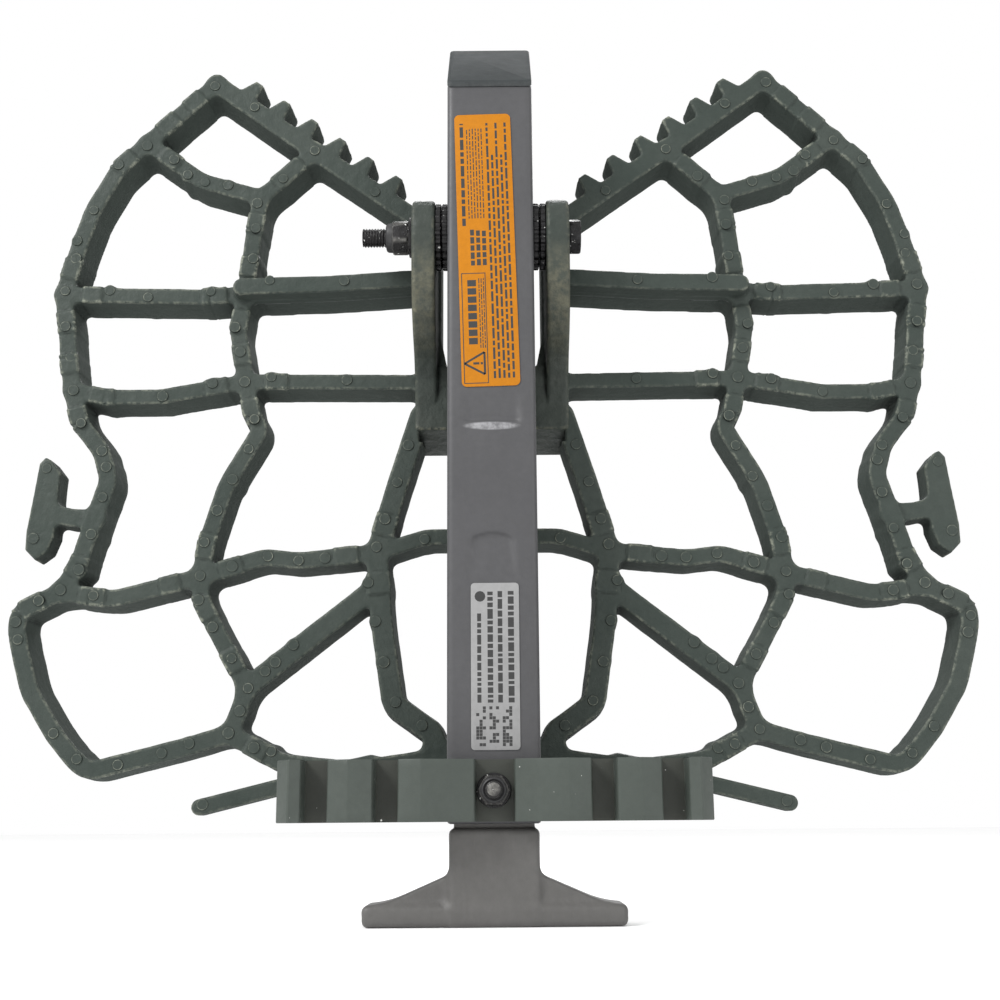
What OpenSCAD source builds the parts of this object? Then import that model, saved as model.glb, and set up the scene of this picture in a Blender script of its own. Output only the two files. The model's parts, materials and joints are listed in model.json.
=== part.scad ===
// Folding cast-aluminium tree platform on a square post, folded flat behind its post.
// Z runs up the post, -Y is the tree side and X is the hinge line.
// The origin is on the post's tree-side face, level with the hinge.

/* [Platform] */
// Width of a lattice strut
strut_w = 10; // [8:0.5:11]
// Front-to-back depth of the lattice
strut_d = 24; // [18:1:28]
// Extra depth of the ribs that run into the hub
rib_extra = 10; // [0:1:12]
// Height of a gripping tooth
tooth_h = 10; // [6:0.5:11]
// Teeth along each gripping edge
tooth_count = 6; // [4:1:6]
// Spacing of the teeth along the edge
tooth_pitch = 19.5; // [17:0.5:20]

/* [Post] */
// Outside width of the square post
post_w = 44; // [42:1:46]
// Wall of the post
post_wall = 3; // [2:0.5:4]
// Height of the post above the hinge, on the tree side
post_up = 75; // [60:1:90]
// Length of the post below the hinge
post_down = 300; // [298:1:300]

/* [Hinge] */
// Diameter of the hinge bolt
bolt_d = 10; // [8:1:10]
// Thickness of each hinge cheek
cheek_t = 12; // [10:0.5:13]
// Radius of the rounded hinge lugs
lug_r = 19; // [17:1:20]
// Radius of the serrated locking discs
disc_r = 17.5; // [15:0.5:18]

/* [Tree bar and foot] */
// Half the width of the ridged bar
bar_half = 99.5; // [97:0.5:102]
// Height of the ridged bar
bar_h = 28; // [24:1:29]
// Diameter of the bar bolt
bar_bolt_d = 8; // [6:1:8]
// Half the width of the foot's blade
blade_half = 61; // [50:1:70]

/* [Output] */
// Which node to draw

/* [Hidden] */
$fn = 64;

hinge_y = post_w / 2;
beam_w = strut_w - 1;                // the cross beams are a little slimmer
gap = 0.3;                          // between bodies that turn against each other
fit = 0.05;                         // radial running clearance of the hinge bolt
lat_y = post_w + 2;                 // tree-side face of the lattice
lat_back = lat_y + strut_d;         // standing face of the lattice
disc_t = 3.2;
cheek_in = post_w / 2 + 2 * disc_t + gap;
cheek_out = cheek_in + cheek_t;
washer_t = 2;
foot_top = -post_down - 2;
bar_z = -285;                       // middle of the bar
bar_shift = 0.5;                    // the bar sits a little off centre on its bolt
cap_t = 3;
cut_len = post_w * sqrt(2);         // length of the sloping cut at the post's top

// Junctions of the left half of the lattice, as [x, z]
rack_tip = [-153, 105];
rack_end = [-40, 22];
rack_mid = [-97, 63];
spoke_rim = [-190, 69];
beam_rim = [-231, -20];
low_rim = [-223, -74];
tail_rim_top = [-222, -182];
web_top = [-126, 36];
web_beam = [-133, -20];
web_low = [-131, -70];
web_tail = [-151, -175];
web_knee = [-125, -232];
tail_knee = [-133, -255];
leg_knee = [-60, -163];
leg_foot = [-30, -256];
tail_mid = [-31, -268];

rim_path = [rack_tip, spoke_rim, [-205, 54], [-218, 29], [-225, 5], beam_rim,
  [-228, -38], [-226, -56], low_rim, [-218, -92], [-206, -107], [-201, -123],
  [-210, -153], [-214, -168], tail_rim_top];
tail_path = [tail_rim_top, [-242, -192], [-244, -200], [-241, -213], [-235, -233],
  [-221, -255], [-209, -269], [-202, -273], [-153, -261], tail_knee, [-106, -270],
  [-72, -274], tail_mid];
spoke_path = [spoke_rim, [-159, 46], web_top, rack_mid];
rib_path = [web_beam, [-86, -19], [-38, -16]];
upper_path = [beam_rim, [-152, -22], web_beam, rib_path[1], rib_path[2]];
lower_path = [low_rim, [-205, -78], [-176, -78], web_low, [-38, -71]];
web_path = [web_top, [-129, 17], web_beam, [-136, -41], web_low, [-127, -89],
  [-122, -96], [-139, -126], [-148, -156], web_tail, [-150, -187], [-142, -202], web_knee, [-129, -245], tail_knee];
out_stay = [web_tail, [-194, -186], [-207, -185], tail_rim_top];
in_stay = [web_tail, [-118, -165], [-100, -167], leg_knee];
low_stay = [web_knee, [-59, -180]];
leg_path = [[-38, -90], [-49, -125], leg_knee, [-57, -200], [-51, -241], leg_foot, tail_mid];
horn_path = [[-62, -270], [-106, -281], [-147, -291]];

// ---------- flat outlines ----------

// A straight strut between two points
module strut(a, b, w = strut_w) {
  d = b - a;
  translate(a) rotate(atan2(d[1], d[0])) translate([0, -w / 2]) square([norm(d), w]);
}

// Struts along a path, with a boss a little wider than the strut at each corner
module path(p, boss = 0.6, w = strut_w) {
  for (i = [0:len(p) - 2]) strut(p[i], p[i + 1], w);
  for (i = [1:len(p) - 2]) translate(p[i]) circle(r = w / 2 + boss);
}

// Round end of a strut
module tip(q, boss) translate(q) circle(r = strut_w / 2 + boss);

// The toothed edge that bites the trunk
module rack_flat() {
  d = rack_end - rack_tip;
  path([rack_tip, rack_mid, rack_end], 0.9, strut_w + 1);
  tip(rack_tip, 1.8);
  translate(rack_tip) rotate(atan2(d[1], d[0]))
    for (i = [0:tooth_count - 1]) translate([19 + i * tooth_pitch, strut_w / 2])
      polygon([[-8, -2], [-1.5, tooth_h], [3, tooth_h], [7, -2]]);
}

module rim_flat() {
  path(rim_path, 1.3);
  tip(tail_rim_top, 1.3);
}

module upper_flat() path(upper_path, 1.1, beam_w);
module lower_flat() path(lower_path, 1.1, beam_w);

module web_flat() {
  path(web_path, 0.9);
  tip(web_top, 1.5);
  tip(tail_knee, 1.5);
}

module tail_flat() {
  path(tail_path, 0.7);
  tip(tail_mid, 1.4);
}

module leg_flat() path(leg_path, 1, strut_w + 1.5);

module both_flat() for (s = [0, 1]) mirror([s, 0]) children();

// The area taken by the hub
module hub_flat() translate([-cheek_out, -108]) square([2 * cheek_out, 138]);

// Lays a flat outline in the platform between two depths
module lay(y0, y1) translate([0, y1, 0]) rotate([90, 0, 0]) linear_extrude(y1 - y0) children();

// The left half is drawn, and mirrored for the right
module side(s) if (s < 0) children(); else mirror([1, 0, 0]) children();

// ---------- platform casting ----------

module cast() color([0.29, 0.32, 0.3]) children();

// Two cheeks with hinge lugs, joined behind the post
module hub() cast() {
  for (s = [-1, 1]) side(s) difference() {
    translate([-cheek_out, 0, 0]) rotate([90, 0, 90]) linear_extrude(cheek_t) {
      translate([hinge_y, 0]) circle(r = lug_r);
      polygon([[hinge_y - lug_r + 1, -6], [7, -30], [13, -44], [23, -54], [35, -62], [42, -71],
        [lat_y, -86], [lat_y, -98], [lat_back, -107], [lat_back, 30], [lat_y + 2, 30],
        [hinge_y + 4, lug_r - 1]]);
    }
    translate([-cheek_out - 1, hinge_y, 0]) rotate([0, 90, 0])
      cylinder(h = cheek_t + 2, r = bolt_d / 2 + 0.02);
  }
  // the cheeks widen inwards behind the post, down to the cross member
  for (s = [-1, 1]) side(s) lay(lat_y, lat_back - 1)
    polygon([[-cheek_in - 1, 28], [-cheek_in + 2, 28], [-cheek_in + 2, -48], [-23, -66],
      [-23, -70], [-cheek_in - 1, -70]]);
  translate([-cheek_in - 1, 0, 0]) rotate([90, 0, 90]) linear_extrude(2 * cheek_in + 2)
    polygon([[lat_y, -67], [lat_back, -67], [lat_back, -107], [lat_y, -98]]);
}

module rack(s) cast() side(s)
  lay(lat_y, lat_back) difference() { rack_flat(); hub_flat(); }

module rim(s) cast() side(s)
  lay(lat_y, lat_back) difference() { rim_flat(); rack_flat(); }

module upper_beam(s) cast() side(s) {
  lay(lat_y, lat_back) difference() { upper_flat(); rim_flat(); hub_flat(); }
  lay(lat_y - rib_extra, lat_y + 1) difference() {
    path(rib_path, 0.4, beam_w + 1);
    hub_flat();
  }
}

module lower_beam(s) cast() side(s)
  lay(lat_y, lat_back) difference() { lower_flat(); rim_flat(); hub_flat(); }

module web(s) cast() side(s)
  lay(lat_y, lat_back) difference() { web_flat(); upper_flat(); lower_flat(); }

module spoke(s) cast() side(s)
  lay(lat_y, lat_back) difference() { path(spoke_path); rim_flat(); rack_flat(); web_flat(); }

module tail_rim(s) cast() side(s)
  lay(lat_y, lat_back) difference() { tail_flat(); rim_flat(); web_flat(); }

module stays(s) cast() side(s) for (p = [out_stay, in_stay, low_stay])
  lay(lat_y, lat_back) difference() {
    path(p, 0.6, p == low_stay ? strut_w + 1 : strut_w);
    web_flat();
    rim_flat();
    tail_flat();
    leg_flat();
  }

module leg(s) cast() side(s)
  lay(lat_y, lat_back) difference() { leg_flat(); tail_flat(); hub_flat(); }

// Cross member behind the post, between the two legs
module bridge() cast() lay(lat_y, lat_back) difference() {
  path([leg_knee, [-34, -155], [34, -155], [-leg_knee[0], leg_knee[1]]], 0.6, beam_w);
  both_flat() leg_flat();
}

// Shallow arch that joins the two halves at the tail
module tail_bridge() cast() lay(lat_y, lat_back) difference() {
  path([tail_mid, [-14, -260], [14, -260], [-tail_mid[0], tail_mid[1]]]);
  both_flat() { leg_flat(); tail_flat(); }
}

// Prong that sticks out of the tail on each side
module horn(s) cast() side(s) lay(lat_y + 2, lat_y + 16) difference() {
  union() { path(horn_path, 0.5, beam_w - 1); translate(horn_path[2]) circle(r = beam_w / 2 + 0.4); }
  tail_flat();
}

// T-shaped hook on the rim for hanging gear
module gear_hook(s) cast() side(s) lay(lat_y + 2, lat_y + 18) difference() {
  union() {
    path([[-206, -144], [-220, -143], [-234, -140]], 1);
    polygon([[-238, -114], [-235, -110], [-232, -112], [-226, -119], [-227, -127], [-228, -153],
      [-231, -161], [-237, -166], [-243, -160], [-243, -150], [-240, -131]]);
  }
  rim_flat();
}

// ---------- hinge ----------

module along_x(x0, x1) translate([x0, hinge_y, 0]) rotate([0, 90, 0]) linear_extrude(x1 - x0) children();

module hinge_bolt() color([0.08, 0.08, 0.08]) {
  along_x(-67, cheek_out + 1) circle(d = bolt_d);
  along_x(cheek_out, cheek_out + 6.4) circle(d = 19.6, $fn = 6);
}

module hinge_nut() color([0.08, 0.08, 0.08])
  along_x(-cheek_out - washer_t - 8.5, -cheek_out - washer_t)
    difference() { circle(d = 19.6, $fn = 6); circle(d = bolt_d); }

// Locking collar with its nylon ring, on the outside of the nut
module hinge_nut_ring() color([0.12, 0.12, 0.13])
  along_x(-cheek_out - washer_t - 12, -cheek_out - washer_t - 8.5)
    difference() { circle(d = 15.5); circle(d = bolt_d); }

module hinge_washer() color([0.08, 0.08, 0.08])
  along_x(-cheek_out - washer_t, -cheek_out)
    difference() { circle(d = 21); circle(d = bolt_d + 0.5); }

// A locking disc with a notched rim and a bore for the bolt
module serrated(x0, bore) along_x(x0, x0 + disc_t) difference() {
  union() {
    circle(r = disc_r - 0.8);
    for (a = [0:15:345]) rotate(a) translate([disc_r - 3, -1.4]) square([3, 2.8]);
  }
  circle(r = bore);
}

module platform_discs() color([0.06, 0.06, 0.06]) {
  serrated(-cheek_in, bolt_d / 2 + 0.02);
  serrated(cheek_in - disc_t, bolt_d / 2 + 0.02);
}

module post_discs() color([0.06, 0.06, 0.06]) {
  serrated(-post_w / 2 - disc_t, bolt_d / 2 + fit);
  serrated(post_w / 2, bolt_d / 2 + fit);
}

module hinge_sleeve() color([0.5, 0.5, 0.5])
  along_x(-post_w / 2 + post_wall, post_w / 2 - post_wall)
    difference() { circle(d = bolt_d + 6); circle(r = bolt_d / 2 + fit); }

// ---------- post ----------

// Square tube, cut at 45 degrees at the top, with two shallow pressed dents on the tree side
module post() color([0.42, 0.42, 0.43]) difference() {
  translate([-post_w / 2, 0, -post_down]) cube([post_w, post_w, post_down + post_up + post_w]);
  translate([-post_w / 2 + post_wall, post_wall, -post_down - 1])
    cube([post_w - 2 * post_wall, post_w - 2 * post_wall, post_down + post_up + post_w + 2]);
  translate([-post_w, 0, post_up]) rotate([45, 0, 0]) translate([0, -post_w, 0])
    cube([2 * post_w, 3 * post_w, post_w * 2]);
  along_x(-post_w, post_w) circle(r = bolt_d / 2 + fit);
  for (z = [-98, -174]) translate([-15, -58.8, z]) rotate([0, 90, 0]) cylinder(h = 30, r = 60);
  translate([0, -1, bar_z]) rotate([-90, 0, 0]) cylinder(h = post_w + 2, d = bar_bolt_d + 0.2);
}

// Plate that closes the sloping top
module post_cap() color([0.42, 0.42, 0.43])
  translate([-post_w / 2, 0, post_up]) rotate([45, 0, 0]) cube([post_w, cut_len, cap_t]);

// T-shaped foot whose tongue sits inside the post
module foot() color([0.46, 0.46, 0.45]) difference() {
  union() {
    translate([-21, 0, -337]) cube([42, post_w - 2, 337 + foot_top]);
    translate([-18.9, 3.1, foot_top - 1]) cube([37.8, 37.8, 41]);
    lay(0, 30) {
      translate([-blade_half + 4, -346]) square([2 * blade_half - 8, 10]);
      for (s = [-1, 1]) translate([s * (blade_half - 5), -341]) circle(r = 5);
    }
    lay(3, 24) polygon([[-20.5, -322.5], [-blade_half + 3, -338.5], [blade_half - 3, -338.5],
      [20.5, -322.5]]);
  }
  translate([0, -1, bar_z]) rotate([-90, 0, 0]) cylinder(h = post_w + 2, d = bar_bolt_d);
}

// Ridged bar that rests on the trunk below the platform
bar_half_outline = [[9, -6], [9.2, -14.5], [19.5, -16], [33.5, -20], [44, -16.5], [44.5, -6],
  [55, -6], [55.5, -16.5], [66.5, -20], [76, -16.5], [76.5, -6], [87.5, -6], [88, -16.5],
  [93.5, -19], [bar_half, -12], [bar_half, 0]];

module tree_bar() color([0.36, 0.39, 0.36]) difference() {
  translate([bar_shift, 0, bar_z - bar_h / 2]) linear_extrude(bar_h)
    polygon(concat(bar_half_outline,
      [for (i = [len(bar_half_outline) - 1:-1:0]) [-bar_half_outline[i][0], bar_half_outline[i][1]]]));
  translate([0, -7, bar_z]) rotate([-90, 0, 0]) cylinder(h = 8, d = bar_bolt_d + 0.2);
}

module along_y(y0, y1) translate([0, y1, bar_z]) rotate([90, 0, 0]) linear_extrude(y1 - y0) children();

module bar_bolt() color([0.08, 0.08, 0.08]) {
  along_y(-17.5, post_w + 2) circle(d = bar_bolt_d);
  along_y(post_w + 1.6, post_w + 7) circle(d = 15, $fn = 6);
}

module bar_nut() color([0.1, 0.1, 0.1]) along_y(-13, -7.6)
  difference() { circle(d = 15, $fn = 6); circle(d = bar_bolt_d); }

module bar_nut_ring() color([0.12, 0.12, 0.13]) along_y(-15.5, -13)
  difference() { circle(d = 12); circle(d = bar_bolt_d); }

module bar_washers() color([0.08, 0.08, 0.08]) {
  along_y(-7.6, -6) difference() { circle(d = 16); circle(d = bar_bolt_d + 0.4); }
  along_y(post_w, post_w + 1.6) difference() { circle(d = 16); circle(d = bar_bolt_d + 0.4); }
}

// ---------- labels ----------

// A flat label with clipped corners on the tree side of the post
module label(w, h, r) lay(-0.4, 0) difference() {
  square([w, h], center = true);
  for (x = [-1, 1], y = [-1, 1]) translate([x * w / 2, y * h / 2]) rotate(45)
    square(r, center = true);
}

module warning_label() color([0.93, 0.6, 0.1])
  translate([-2, 0, -15]) rotate([0, -1.5, 0]) label(29, 148, 3);

module serial_label() color([0.72, 0.72, 0.72])
  translate([1, 0, -227]) label(23, 79, 2);

hub();
rack(-1);  // rack_left
rack(1);  // rack_right
rim(-1);  // rim_left
rim(1);  // rim_right
upper_beam(-1);  // upper_beam_left
upper_beam(1);  // upper_beam_right
lower_beam(-1);  // lower_beam_left
lower_beam(1);  // lower_beam_right
web(-1);  // web_left
web(1);  // web_right
spoke(-1);  // spoke_left
spoke(1);  // spoke_right
tail_rim(-1);  // tail_rim_left
tail_rim(1);  // tail_rim_right
stays(-1);  // stays_left
stays(1);  // stays_right
leg(-1);  // leg_left
leg(1);  // leg_right
bridge();
tail_bridge();
horn(-1);  // horn_left
horn(1);  // horn_right
gear_hook(-1);  // gear_hook_left
gear_hook(1);  // gear_hook_right
hinge_bolt();
hinge_nut();
hinge_nut_ring();
hinge_washer();
platform_discs();
post();
post_cap();
post_discs();
hinge_sleeve();
foot();
tree_bar();
bar_bolt();
bar_nut();
bar_nut_ring();
bar_washers();
warning_label();
serial_label();
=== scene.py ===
import json
import math
import random

import bpy
import numpy as np
from mathutils import Matrix, Vector


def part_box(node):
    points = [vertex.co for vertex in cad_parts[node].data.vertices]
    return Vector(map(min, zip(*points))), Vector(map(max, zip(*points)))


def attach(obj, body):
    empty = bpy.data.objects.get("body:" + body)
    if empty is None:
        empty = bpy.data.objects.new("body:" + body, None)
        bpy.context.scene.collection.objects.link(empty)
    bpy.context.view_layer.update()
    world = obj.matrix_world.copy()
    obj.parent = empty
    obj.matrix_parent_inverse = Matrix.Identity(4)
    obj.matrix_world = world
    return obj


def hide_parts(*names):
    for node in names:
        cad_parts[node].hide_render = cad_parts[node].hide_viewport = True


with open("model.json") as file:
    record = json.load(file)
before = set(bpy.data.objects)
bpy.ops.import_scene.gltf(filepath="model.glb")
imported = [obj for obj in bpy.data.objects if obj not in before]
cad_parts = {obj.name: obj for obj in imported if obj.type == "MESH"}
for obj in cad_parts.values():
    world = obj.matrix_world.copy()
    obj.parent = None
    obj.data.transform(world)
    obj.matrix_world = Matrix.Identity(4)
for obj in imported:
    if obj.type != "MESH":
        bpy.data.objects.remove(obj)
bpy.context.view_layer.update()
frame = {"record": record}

random.seed(7)
MM = 0.001

# ---- places from the CAD


def mm_box(node):
    """A CAD node's box in millimetres, as (low, high)."""
    lo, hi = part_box(node)
    return [v / MM for v in lo], [v / MM for v in hi]


RIM, HUB, POST = mm_box("rim_left"), mm_box("hub"), mm_box("post")
BAR, FOOT = mm_box("tree_bar"), mm_box("foot")
LAT_Y, LAT_BACK = RIM[0][1], RIM[1][1]      # tree-side and standing faces of the lattice
RIB_Y = mm_box("upper_beam_left")[0][1]
THIN_Y, THIN_BACK = mm_box("gear_hook_left")[0][1], mm_box("gear_hook_left")[1][1]
HORN_BACK = mm_box("horn_left")[1][1]
HINGE_Y = frame["record"]["behaviour"]["joints"][0]["pos_m"][1] / MM

# ---- layout of the lattice

# Junctions and ends of the left half's centre lines, as (x, z) in mm
RACK_TIP, RACK_END, RACK_MID = (-153, 105), (-40, 22), (-97, 63)
SPOKE_RIM, BEAM_RIM, LOW_RIM = (-190, 69), (-231, -20), (-223, -74)
TAIL_TOP, WEB_TOP, WEB_BEAM, WEB_LOW = (-222, -182), (-126, 36), (-133, -20), (-131, -70)
WEB_TAIL, WEB_KNEE, TAIL_KNEE = (-151, -175), (-125, -232), (-133, -255)
LEG_KNEE, LEG_FOOT, TAIL_MID = (-60, -163), (-30, -256), (-31, -268)
RIB = [WEB_BEAM, (-86, -19), (-38, -16)]
# Chains of struts, each with half the width of its struts
CHAINS = {
    "rim": (5.0, [RACK_TIP, SPOKE_RIM, (-205, 54), (-218, 29), (-225, 5), BEAM_RIM, (-228, -38),
                  (-226, -56), LOW_RIM, (-218, -92), (-206, -107), (-201, -123), (-210, -153),
                  (-214, -168), TAIL_TOP]),
    "tail": (5.0, [TAIL_TOP, (-242, -192), (-244, -200), (-241, -213), (-235, -233),
                   (-221, -255), (-209, -269), (-202, -273), (-153, -261), TAIL_KNEE,
                   (-106, -270), (-72, -274), TAIL_MID]),
    "spoke": (4.8, [SPOKE_RIM, (-159, 46), WEB_TOP, RACK_MID]),
    "upper": (4.7, [BEAM_RIM, (-152, -22)] + RIB),
    "lower": (4.5, [LOW_RIM, (-205, -78), (-176, -78), WEB_LOW, (-38, -71)]),
    "web": (4.8, [WEB_TOP, (-129, 17), WEB_BEAM, (-136, -41), WEB_LOW, (-127, -89), (-122, -96),
                  (-139, -126), (-148, -156), WEB_TAIL, (-150, -187),
                  (-142, -202), WEB_KNEE, (-129, -245), TAIL_KNEE]),
    "out_stay": (4.8, [WEB_TAIL, (-194, -186), (-207, -185), TAIL_TOP]),
    "in_stay": (4.8, [WEB_TAIL, (-118, -165), (-100, -167), LEG_KNEE]),
    "low_stay": (5.7, [WEB_KNEE, (-59, -180)]),
    "leg": (6.0, [(-38, -90), (-49, -125), LEG_KNEE, (-57, -200), (-51, -241), LEG_FOOT, TAIL_MID]),
    "bridge": (4.5, [LEG_KNEE, (-34, -155), (0, -155)]),
    "arch": (4.8, [TAIL_MID, (-14, -260), (0, -260)]),
}
JUNCTIONS = [RACK_TIP, RACK_MID, SPOKE_RIM, BEAM_RIM, LOW_RIM, TAIL_TOP, WEB_TOP, WEB_BEAM,
             WEB_LOW, WEB_TAIL, WEB_KNEE, TAIL_KNEE, LEG_KNEE]
RACK, RACK_HALF = [RACK_TIP, RACK_MID, RACK_END], 5.5
HORN, HORN_HALF = [(-62, -270), (-106, -281), (-147, -291)], 4.0
HOOK_STEM, STEM_HALF = [(-206, -144), (-220, -143), (-233, -140)], 4.8
HOOK_HEAD = [(-238, -114), (-235, -110.5), (-232, -112), (-226.5, -119), (-227, -127),
             (-228, -153), (-231, -161), (-237, -165.5), (-242.5, -160), (-242.5, -150),
             (-240, -131)]
# Rack teeth: count, spacing, place of the first, height of their foot, and their outline
TOOTH_COUNT, TOOTH_PITCH, TOOTH_START, TOOTH_FOOT = 6, 19.5, 19, 5
TOOTH = [(-7.5, -4), (6.5, -4), (3.3, 9.6), (-2.0, 9.6)]
# Ejector-pin marks on the tree side of the left half, as (x, z)
PIN_MARKS = [
    (-190, 67), (-205, 55), (-217, 29), (-225, 11), (-225, 0), (-230, -18), (-206, -18),
    (-185, -22), (-151, -19), (-131, -14), (-118, -17), (-228, -39), (-225, -56), (-222, -74),
    (-205, -79), (-175, -78), (-148, -71), (-137, -40), (-134, -54), (-131, -70), (-117, -68),
    (-77, -70), (-131, 90), (-97, 63), (-63, 38), (-114, 46), (-128, 32), (-128, 17), (-129, -1),
    (-174, 58), (-167, 49), (-144, 43), (-157, 45), (-217, -93), (-205, -108), (-202, -116),
    (-203, -133), (-208, -152), (-213, -171), (-222, -181), (-233, -187), (-244, -198),
    (-242, -207), (-221, -254), (-209, -267), (-188, -270), (-166, -264), (-153, -260),
    (-133, -255), (-128, -244), (-124, -232), (-116, -224), (-111, -219), (-102, -211),
    (-133, -217), (-143, -201), (-151, -187), (-151, -175), (-134, -170), (-116, -165),
    (-100, -167), (-87, -166), (-64, -179), (-60, -160), (-56, -146), (-50, -126), (-44, -106),
    (-125, -91), (-128, -107), (-136, -124), (-143, -140), (-149, -157), (-60, -199),
    (-56, -220), (-50, -240), (-36, -252), (-35, -156), (-120, -262), (-112, -264),
    (-205, -185), (-154, 103), (-78, -18), (-234, -117), (-238, -154), (-145, -290),
]

# ---- distance fields

EASE = (2.4, 1.0)       # what each of two rounds cuts off a bend, in mm
BLUR = range(-2, 3)     # cells that the edge measure averages over


def cut_corner(a, p, b, limit):
    """Two points in place of p, with its corner between a and b cut off."""
    out = []
    for q in (a, b):
        k = min(limit / math.dist(p, q), 0.3)
        out.append((p[0] + (q[0] - p[0]) * k, p[1] + (q[1] - p[1]) * k))
    return out


def eased(pts):
    """The same chain with its bends, but not its junctions, cut twice into curves."""
    for limit in EASE:
        out = [pts[0]]
        for a, p, b in zip(pts, pts[1:], pts[2:]):
            out += [p] if p in JUNCTIONS else cut_corner(a, p, b, limit)
        pts = out + [pts[-1]]
    return pts


def smin(a, b, k):
    """Union with a fillet about k wide."""
    h = np.clip(k - np.abs(a - b), 0, None) / k
    return np.minimum(a, b) - h * h * k * 0.25


def smax(a, b, k):
    """Overlap with its edge rounded off about k wide."""
    return -smin(-a, -b, k)


def seg(x, z, a, b):
    """Distance to a line between two points."""
    ax, az = a
    dx, dz = b[0] - ax, b[1] - az
    t = np.clip(((x - ax) * dx + (z - az) * dz) / (dx * dx + dz * dz), 0, 1)
    return np.hypot(x - ax - t * dx, z - az - t * dz)


def chain(x, z, pts):
    """Distance to a line through all the points."""
    out = seg(x, z, pts[0], pts[1])
    for a, b in zip(pts[1:], pts[2:]):
        out = np.minimum(out, seg(x, z, a, b))
    return out


def rounded_box(p, centre, half, r):
    """Distance to a box; p, centre and half have one entry per axis."""
    q = [np.abs(v - c) - (h - r) for v, c, h in zip(p, centre, half)]
    outside = np.sqrt(sum(np.maximum(v, 0) ** 2 for v in q))
    inside = q[0]
    for v in q[1:]:
        inside = np.maximum(inside, v)
    return outside + np.minimum(inside, 0) - r


def convex(x, z, pts):
    """Distance to a convex outline given anticlockwise."""
    out = None
    for (ax, az), (bx, bz) in zip(pts, pts[1:] + pts[:1]):
        d = ((x - ax) * (bz - az) - (z - az) * (bx - ax)) / math.hypot(bx - ax, bz - az)
        out = d if out is None else np.maximum(out, d)
    return out


def polygon_sdf(y, z, pts):
    """Signed distance to a simple outline, inside negative."""
    best = None
    inside = np.zeros(np.broadcast(y, z).shape, bool)
    for (ay, az), (by, bz) in zip(pts, pts[1:] + pts[:1]):
        d = seg(y, z, (ay, az), (by, bz))
        best = d if best is None else np.minimum(best, d)
        cross = ((az > z) != (bz > z)) & (y < (by - ay) * (z - az) / (bz - az + 1e-9) + ay)
        inside ^= cross
    return np.where(inside, -best, best)


CORNERS = [(i, j, k) for i in (0, 1) for j in (0, 1) for k in (0, 1)]
EDGES = [(a, b) for a in range(8) for b in range(a + 1, 8)
         if sum(abs(p - q) for p, q in zip(CORNERS[a], CORNERS[b])) == 1]


def net(field, low, step):
    """Surface-net mesh of where field crosses zero: vertices in metres, quads, and each
    vertex's edge measure (1 on a corner, -1 in a crease)."""
    soft = field
    for axis in range(3):
        soft = sum(np.roll(soft, k, axis) for k in BLUR) / len(BLUR)
    bend = (soft - field) / (0.8 * step)
    inside = field < 0
    nx, ny, nz = (s - 1 for s in field.shape)
    count = sum(inside[i:i + nx, j:j + ny, k:k + nz].astype(np.int8) for i, j, k in CORNERS)
    active = (count > 0) & (count < 8)
    ids = np.full(active.shape, -1, np.int32)
    cells = np.argwhere(active)
    ids[active] = np.arange(len(cells))

    def at_corners(values):
        return [values[tuple((cells + c).T)] for c in CORNERS]

    vals = at_corners(field)
    total = np.zeros((len(cells), 3))
    weight = np.zeros(len(cells))
    for a, b in EDGES:
        cross = (vals[a] < 0) != (vals[b] < 0)
        t = np.where(cross, vals[a] / np.where(cross, vals[a] - vals[b], 1), 0)
        for axis in range(3):
            p = CORNERS[a][axis] + (CORNERS[b][axis] - CORNERS[a][axis]) * t
            total[:, axis] += np.where(cross, p, 0)
        weight += cross
    verts = (np.array(low) + (cells + total / weight[:, None]) * step) * MM
    edge = sum(at_corners(bend)) / 8
    quads = []
    for axis in range(3):
        u, v = (axis + 1) % 3, (axis + 2) % 3
        first = inside[tuple(slice(0, -1) if i == axis else slice(1, -1) for i in range(3))]
        second = inside[tuple(slice(1, None) if i == axis else slice(1, -1) for i in range(3))]
        for way, crossed in ((1, first & ~second), (-1, second & ~first)):
            at = np.argwhere(crossed)
            ring = []
            for du, dv in ((0, 0), (1, 0), (1, 1), (0, 1)):
                shift = [0, 0, 0]
                shift[u], shift[v] = du, dv
                ring.append(ids[tuple((at + shift).T)])
            quads.append(np.stack(ring[::way], 1))
    return verts, np.concatenate(quads), np.clip(edge, -1, 1)


def grid(low, high, step):
    axes = [np.arange(a, b + step, step, dtype=np.float32) for a, b in zip(low, high)]
    return np.meshgrid(*axes, indexing="ij", sparse=True)


def around(box, step):
    """A grid that holds a box with 2 mm to spare, after its low corner."""
    low = [v - 2 for v in box[0]]
    return low, grid(low, [v + 2 for v in box[1]], step)


def stacked(n, count):
    """Faces of a closed stack of outlines, each with n points."""
    faces = []
    for j in range(count - 1):
        for i in range(n):
            k = (i + 1) % n
            faces.append((j * n + i, j * n + k, (j + 1) * n + k, (j + 1) * n + i))
    return faces + [tuple(range(n))[::-1], tuple((count - 1) * n + i for i in range(n))]


def mesh_object(name, verts, faces, mat, smooth=True, edge=None):
    """A piece from its mesh; edge becomes the attribute that lightens its corners, for paint wear
    and painted highlight, and darkens its creases with painted shade.
    """
    me = bpy.data.meshes.new(name)
    me.from_pydata([tuple(v) for v in verts], [], [tuple(f) for f in faces])
    me.update()
    me.polygons.foreach_set("use_smooth", [smooth] * len(me.polygons))
    if edge is not None:
        wear_and_glint = me.attributes.new("edge", "FLOAT", "POINT")
        wear_and_glint.data.foreach_set("value", np.array(edge, np.float32))
    ob = bpy.data.objects.new(name, me)
    bpy.context.collection.objects.link(ob)
    me.materials.append(mat)
    return ob


def solid(name, field, low, step, mat):
    verts, quads, edge = net(field.astype(np.float32), low, step)
    return mesh_object(name, verts, quads, mat, edge=edge)


# ---- materials


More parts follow.
